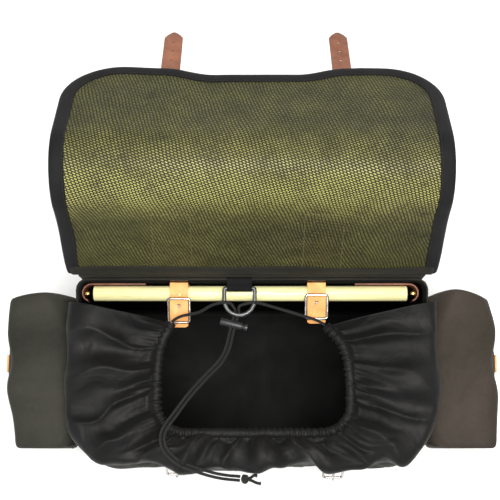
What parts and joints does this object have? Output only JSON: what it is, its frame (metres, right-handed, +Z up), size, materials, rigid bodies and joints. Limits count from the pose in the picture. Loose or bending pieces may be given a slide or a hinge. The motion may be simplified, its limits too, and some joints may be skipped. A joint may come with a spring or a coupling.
{
  "type": "hunting backpack",
  "caption": "Canvas hunting backpack standing open: gathered drawstring skirt, dowel-stiffened back, folding lid with leather straps, side pockets and shoulder straps.",
  "frame": {"origin": "centre of the base panel's flat underside", "axes": "+Z up, +Y towards the back panel and the wearer, +X to the right as the bag is seen from the front"},
  "size_m": [0.5496, 0.467, 0.4594],
  "materials": {
    "canvas": "matte",
    "lid_canvas": "matte",
    "skirt_cloth": "matte",
    "pocket_canvas": "matte",
    "binding": "matte",
    "leather": "satin",
    "dark_leather": "satin",
    "nickel": "polished",
    "dowel_wood": "satin",
    "cord": "matte",
    "lock_plastic": "satin"
  },
  "bodies": {
    "bag": {"back_panel": "canvas", "base_panel": "canvas", "front_panel": "canvas", "side_panel_left": "canvas", "side_panel_right": "canvas", "drawstring_skirt": "skirt_cloth", "hem_channel": "skirt_cloth", "drawcord_hem_run": "cord", "drawcord_left": "cord", "drawcord_right": "cord", "drawcord_knot": "cord", "dowel": "dowel_wood", "dowel_end_loop_left": "dark_leather", "dowel_end_loop_right": "dark_leather", "dowel_strap_left": "leather", "dowel_strap_right": "leather", "dowel_buckle_left": "nickel", "dowel_buckle_right": "nickel", "d_ring_tab": "binding", "front_chape_left": "leather", "front_chape_right": "leather", "pocket_body_left": "canvas", "pocket_body_right": "pocket_canvas", "pocket_chape_left": "leather", "pocket_chape_right": "leather", "shoulder_strap_left": "dark_leather", "shoulder_strap_right": "dark_leather", "shoulder_anchor_left": "dark_leather", "shoulder_anchor_right": "dark_leather", "shoulder_buckle_left": "nickel", "shoulder_buckle_right": "nickel", "shoulder_prong_left": "nickel", "shoulder_prong_right": "nickel"},
    "lid_top": {"lid_top_panel": "lid_canvas", "lid_binding_top_left": "binding", "lid_binding_top_right": "binding", "lid_patch_left": "binding", "lid_patch_right": "binding"},
    "lid_flap": {"lid_front_flap": "lid_canvas", "lid_binding_flap": "binding", "lid_strap_left": "dark_leather", "lid_strap_right": "dark_leather"},
    "ring": {"d_ring": "nickel"},
    "lock": {"cord_lock_barrel": "lock_plastic", "cord_lock_spring": "nickel"},
    "lock_plunger": {"cord_lock_plunger": "lock_plastic"},
    "front_buckle_left": {"front_buckle_left": "nickel"},
    "front_prong_left": {"front_prong_left": "nickel"},
    "front_buckle_right": {"front_buckle_right": "nickel"},
    "front_prong_right": {"front_prong_right": "nickel"},
    "pocket_lid_left": {"pocket_lid_left": "canvas", "pocket_strap_left": "leather"},
    "pocket_buckle_left": {"pocket_buckle_left": "nickel"},
    "pocket_prong_left": {"pocket_prong_left": "nickel"},
    "pocket_lid_right": {"pocket_lid_right": "pocket_canvas", "pocket_strap_right": "leather"},
    "pocket_buckle_right": {"pocket_buckle_right": "nickel"},
    "pocket_prong_right": {"pocket_prong_right": "nickel"}
  },
  "joints": [
    {"name": "lid_hinge", "type": "hinge", "parent": "bag", "child": "lid_top", "pos_m": [0, 0.0945, 0.2735], "axis": [1, 0, 0], "range_deg": [0, 108], "deforming": ["drawstring_skirt", "hem_channel", "drawcord_hem_run", "drawcord_left", "drawcord_right", "drawcord_knot"]},
    {"name": "flap_fold", "type": "hinge", "parent": "lid_top", "child": "lid_flap", "pos_m": [0, 0.15507, 0.45991], "axis": [1, 0, 0], "range_deg": [0, 179]},
    {"name": "ring_swing", "type": "hinge", "parent": "bag", "child": "ring", "pos_m": [-0.013, 0.0815, 0.264], "axis": [1, 0, 0], "range_deg": [-100, 0]},
    {"name": "lock_slide", "type": "slide", "parent": "bag", "child": "lock", "axis": [-0.243, -0.97, 0], "range_m": [0, 0.012]},
    {"name": "plunger_press", "type": "slide", "parent": "lock", "child": "lock_plunger", "axis": [-0.97, 0.243, 0], "range_m": [0, 0.0026], "stiffness_N_per_m": 300, "springref_m": -0.001, "deforming": ["cord_lock_spring"]},
    {"name": "front_buckle_left_swing", "type": "hinge", "parent": "bag", "child": "front_buckle_left", "pos_m": [-0.087, -0.1039, 0.122], "axis": [1, 0, 0], "range_deg": [-44, 28]},
    {"name": "front_prong_left_lift", "type": "hinge", "parent": "front_buckle_left", "child": "front_prong_left", "pos_m": [-0.087, -0.1039, 0.122], "axis": [1, 0, 0], "range_deg": [-45, 0]},
    {"name": "front_buckle_right_swing", "type": "hinge", "parent": "bag", "child": "front_buckle_right", "pos_m": [0.094, -0.1039, 0.122], "axis": [1, 0, 0], "range_deg": [-34, 38]},
    {"name": "front_prong_right_lift", "type": "hinge", "parent": "front_buckle_right", "child": "front_prong_right", "pos_m": [0.094, -0.1039, 0.122], "axis": [1, 0, 0], "range_deg": [-45, 0]},
    {"name": "pocket_lid_left_open", "type": "hinge", "parent": "bag", "child": "pocket_lid_left", "pos_m": [-0.1885, -0.0025, 0.22], "axis": [0, 1, 0], "range_deg": [0, 80]},
    {"name": "pocket_buckle_left_swing", "type": "hinge", "parent": "bag", "child": "pocket_buckle_left", "pos_m": [-0.2659, 0.008, 0.108], "axis": [0, 1, 0], "range_deg": [0, 50], "deforming": ["pocket_strap_left"]},
    {"name": "pocket_prong_left_lift", "type": "hinge", "parent": "pocket_buckle_left", "child": "pocket_prong_left", "pos_m": [-0.2659, 0.008, 0.108], "axis": [0, 1, 0], "range_deg": [0, 50]},
    {"name": "pocket_lid_right_open", "type": "hinge", "parent": "bag", "child": "pocket_lid_right", "pos_m": [0.1885, -0.0025, 0.22], "axis": [0, -1, 0], "range_deg": [0, 80]},
    {"name": "pocket_buckle_right_swing", "type": "hinge", "parent": "bag", "child": "pocket_buckle_right", "pos_m": [0.2659, 0.008, 0.108], "axis": [0, -1, 0], "range_deg": [0, 50], "deforming": ["pocket_strap_right"]},
    {"name": "pocket_prong_right_lift", "type": "hinge", "parent": "pocket_buckle_right", "child": "pocket_prong_right", "pos_m": [0.2659, 0.008, 0.108], "axis": [0, -1, 0], "range_deg": [0, 50]}
  ]
}
